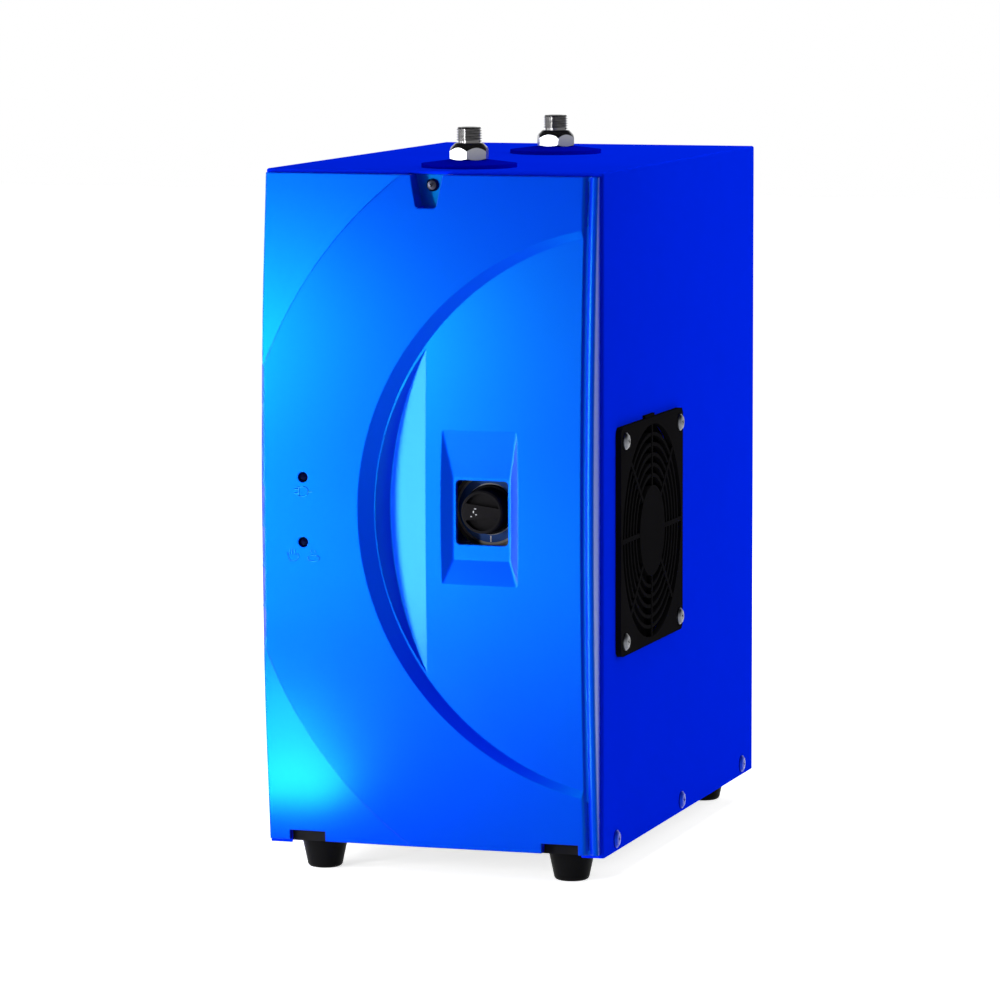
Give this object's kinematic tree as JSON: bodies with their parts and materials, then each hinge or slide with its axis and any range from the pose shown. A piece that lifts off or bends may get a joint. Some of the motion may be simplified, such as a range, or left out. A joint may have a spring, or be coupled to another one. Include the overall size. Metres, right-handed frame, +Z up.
{
  "type": "water chiller",
  "caption": "Upright box water chiller with a bowed moulded front, recessed thermostat knob, side fan grille, two threaded water ports on top and tapered feet.",
  "frame": {"origin": "under the middle of the object, on the plane that its feet stand on", "axes": "+Z up, -Y towards the moulded front, +X towards the side with the fan grille"},
  "size_m": [0.1903, 0.3231, 0.3913],
  "materials": {
    "blue_paint": "satin",
    "blue_plastic": "satin",
    "blue_grommet": "gloss",
    "blue_screw": "satin",
    "black_paint": "satin",
    "black_plastic": "satin",
    "black_screw": "satin",
    "dial_print": "satin",
    "nickel": "polished",
    "stainless": "brushed",
    "zinc": "plated",
    "fin_aluminium": "matt",
    "copper": "satin",
    "brass": "plated",
    "compressor_black": "gloss",
    "rubber": "matt",
    "foam": "matt",
    "board_green": "satin",
    "lens": "gloss",
    "hose": "satin"
  },
  "bodies": {
    "cabinet": {"back_panel": "black_paint", "back_screws": "zinc", "base_tray": "black_paint", "board_screws": "zinc", "capillary_tube": "copper", "compressor": "compressor_black", "compressor_bolts": "zinc", "compressor_grommets": "rubber", "compressor_nuts": "zinc", "condenser_fins": "fin_aluminium", "condenser_tube": "copper", "cover_screw": "black_screw", "discharge_tube": "copper", "fan_frame": "black_plastic", "fan_guard": "black_plastic", "filter_drier": "copper", "foam_front": "foam", "foam_rear": "foam", "foot_back_left": "rubber", "foot_back_right": "rubber", "foot_front_left": "rubber", "foot_front_right": "rubber", "foot_nuts": "zinc", "foot_screws": "zinc", "front_cover": "blue_plastic", "guard_screws": "zinc", "housing": "blue_paint", "indicator_board": "board_green", "inlet_fitting": "nickel", "inlet_hose": "hose", "inlet_locknut": "nickel", "inlet_nuts": "zinc", "inlet_pins": "brass", "inlet_screws": "zinc", "junction_box": "black_plastic", "light_cooling": "lens", "light_power": "lens", "liquid_tube": "copper", "outlet_fitting": "nickel", "outlet_hose": "hose", "outlet_locknut": "nickel", "power_inlet": "black_plastic", "side_screws": "blue_screw", "suction_tube": "copper", "tank_stand": "zinc", "terminal_cover": "black_plastic", "thermostat_body": "black_plastic", "thermostat_bracket": "zinc", "thermostat_dial": "dial_print", "top_grommet_front": "blue_grommet", "top_grommet_rear": "blue_grommet", "top_rail": "zinc", "water_tank": "stainless"},
    "fan": {"fan_rotor": "black_plastic"},
    "knob": {"thermostat_knob": "black_plastic"}
  },
  "joints": [
    {"name": "fan_spin", "type": "hinge", "parent": "cabinet", "child": "fan", "pos_m": [0.0895, -0.06455, 0.1775], "axis": [1, 0, 0], "continuous": true},
    {"name": "knob_turn", "type": "hinge", "parent": "cabinet", "child": "knob", "pos_m": [0.0285, -0.15255, 0.195], "axis": [0, -1, 0], "range_deg": [-135, 135]}
  ]
}
